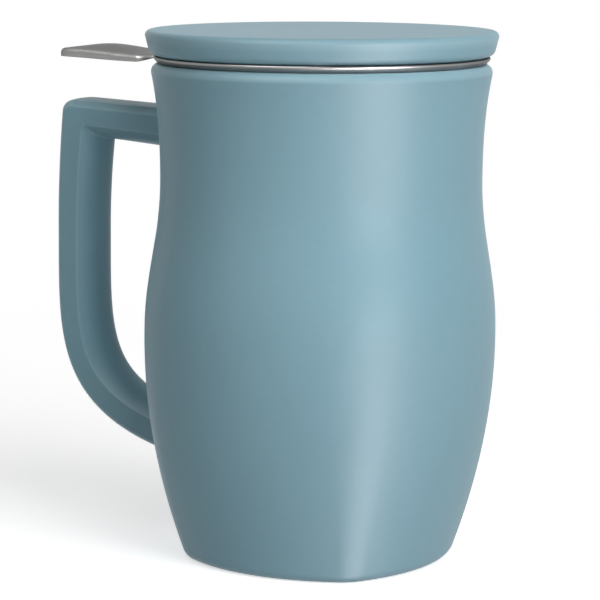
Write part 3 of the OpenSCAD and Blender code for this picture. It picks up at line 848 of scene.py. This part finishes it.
def camera():
    """The photo's camera."""
    data = bpy.data.cameras.new("camera")
    data.lens, data.sensor_width = CAM_LENS, CAM_SENSOR
    data.clip_start, data.clip_end = CAM_CLIP
    cam = bpy.data.objects.new("camera", data)
    cam.matrix_world = (
        Matrix.Translation((sin(CAM_SIDE) * CAM_DISTANCE * MM, -cos(CAM_SIDE) * CAM_DISTANCE * MM,
                            CAM_HEIGHT * MM))
        @ Matrix.Rotation(math.radians(CAM_SIDE + CAM_YAW), 4, "Z")
        @ Matrix.Rotation(math.radians(90 - CAM_PITCH), 4, "X")
        @ Matrix.Rotation(math.radians(CAM_ROLL), 4, "Z"))
    bpy.context.scene.collection.objects.link(cam)
    bpy.context.scene.camera = cam


def softbox(name, side, height, distance, size, power, colour=(1, 1, 1), **seen):
    """A soft lamp that faces the mug. side is degrees round from the camera, towards its right."""
    data = bpy.data.lights.new(name, "AREA")
    data.shape = "RECTANGLE"
    data.size, data.size_y = size
    data.energy = power
    data.color = colour
    lamp = bpy.data.objects.new(name, data)
    a = CAM_SIDE + side
    lamp.location = (sin(a) * distance, -cos(a) * distance, height)
    lamp.rotation_euler = (lamp.location - Vector(LAMP_AIM)).to_track_quat("Z", "Y").to_euler()
    for key, value in seen.items():
        setattr(lamp, key, value)
    bpy.context.scene.collection.objects.link(lamp)


def world():
    """White for the camera and for what glossy and clear surfaces show, and nearly dark for the
    light on dull ones."""
    made = bpy.data.worlds.new("studio")
    bpy.context.scene.world = made
    made.use_nodes = True
    add = adder(made.node_tree)
    out = add("ShaderNodeOutputWorld")
    light = add("ShaderNodeBackground", Color=WHITE, Strength=WORLD_LIGHT)
    white = add("ShaderNodeBackground", Color=WHITE, Strength=1.0)
    path = add("ShaderNodeLightPath").outputs
    straight = add("ShaderNodeMath", {0: path["Is Camera Ray"], 1: path["Is Glossy Ray"]},
                   operation="MAXIMUM")
    seen = add("ShaderNodeMath", {0: straight.outputs[0], 1: path["Is Transmission Ray"]},
               operation="MAXIMUM")
    mix = add("ShaderNodeMixShader", {0: seen.outputs[0], 1: light.outputs[0], 2: white.outputs[0]})
    wire(out, {"Surface": mix.outputs[0]})


def floor():
    """A pale floor that reads as white in front of the camera, and keeps the mug's shadow. It is
    duller for the light that it throws back, and open to reflections and to shadow rays."""
    half = FLOOR_SIZE / 2
    mesh = bpy.data.meshes.new("floor")
    corners = [(-half, -half, 0), (half, -half, 0), (half, half, 0), (-half, half, 0)]
    mesh.from_pydata(corners, [], [(0, 1, 2, 3)])
    material, out, shader, add = new_material("pale_floor")
    tone, bounce = greys(FLOOR_TONE, FLOOR_BOUNCE)
    shader.inputs["Base Color"].default_value = (*tone, 1)
    shader.inputs["Roughness"].default_value = 0.9
    shader.inputs["Specular IOR Level"].default_value = 0.1
    place = add("ShaderNodeTexCoord").outputs["Object"]
    distance = add("ShaderNodeVectorMath", {0: place}, operation="LENGTH").outputs["Value"]
    far = add("ShaderNodeMapRange", {"Value": distance})
    far.inputs["From Min"].default_value, far.inputs["From Max"].default_value = FLOOR_FADE
    glow = add("ShaderNodeEmission", Strength=1.0)
    path = add("ShaderNodeLightPath").outputs
    lift = add("ShaderNodeEmission", Strength=FLOOR_LIFT)
    near = add("ShaderNodeAddShader", {0: shader.outputs[0], 1: lift.outputs[0]})
    seen = add("ShaderNodeMixShader", {0: far.outputs["Result"], 1: near.outputs[0],
                                       2: glow.outputs[0]})
    dull = add("ShaderNodeBsdfDiffuse", Color=(*bounce, 1))
    solid = add("ShaderNodeMixShader", {0: path["Is Camera Ray"], 1: dull.outputs[0],
                                        2: seen.outputs[0]})
    open_ray = add("ShaderNodeMath", {0: path["Is Glossy Ray"], 1: path["Is Shadow Ray"]},
                   operation="MAXIMUM")
    clear = add("ShaderNodeBsdfTransparent")
    whole = add("ShaderNodeMixShader", {0: open_ray.outputs[0], 1: solid.outputs[0],
                                        2: clear.outputs[0]})
    wire(out, {"Surface": whole.outputs[0]})
    mesh.materials.append(material)
    obj = bpy.data.objects.new("floor", mesh)
    bpy.context.scene.collection.objects.link(obj)


camera()
world()
floor()
softbox("key", side=38, height=1.1, distance=1.2, size=(0.9, 1.2), power=12.2, **DULL)
softbox("front", side=27, height=0.55, distance=1.5, size=(1.0, 1.2), power=12, **DULL)
softbox("fill", side=-45, height=1.2, distance=0.9, size=(1.0, 1.0), power=3.2, **DULL)
softbox("sheen", side=40.3, height=-0.95, distance=1.5, size=(1.17, 3.4), power=163,
        colour=(1.0, 0.92, 0.95), **SHINE)
softbox("back", side=205, height=0.6, distance=1.6, size=(1.4, 1.2), power=4.5, **DULL)
softbox("glint", side=-35, height=1.1, distance=1.1, size=(1.2, 1.0), power=24, **SHINE)

mug_body()
handle()
lid()
infuser_rim()
lift_tab()
basket_collar()
basket_wall()
basket_floor()

bpy.context.scene.view_settings.view_transform = "Standard"
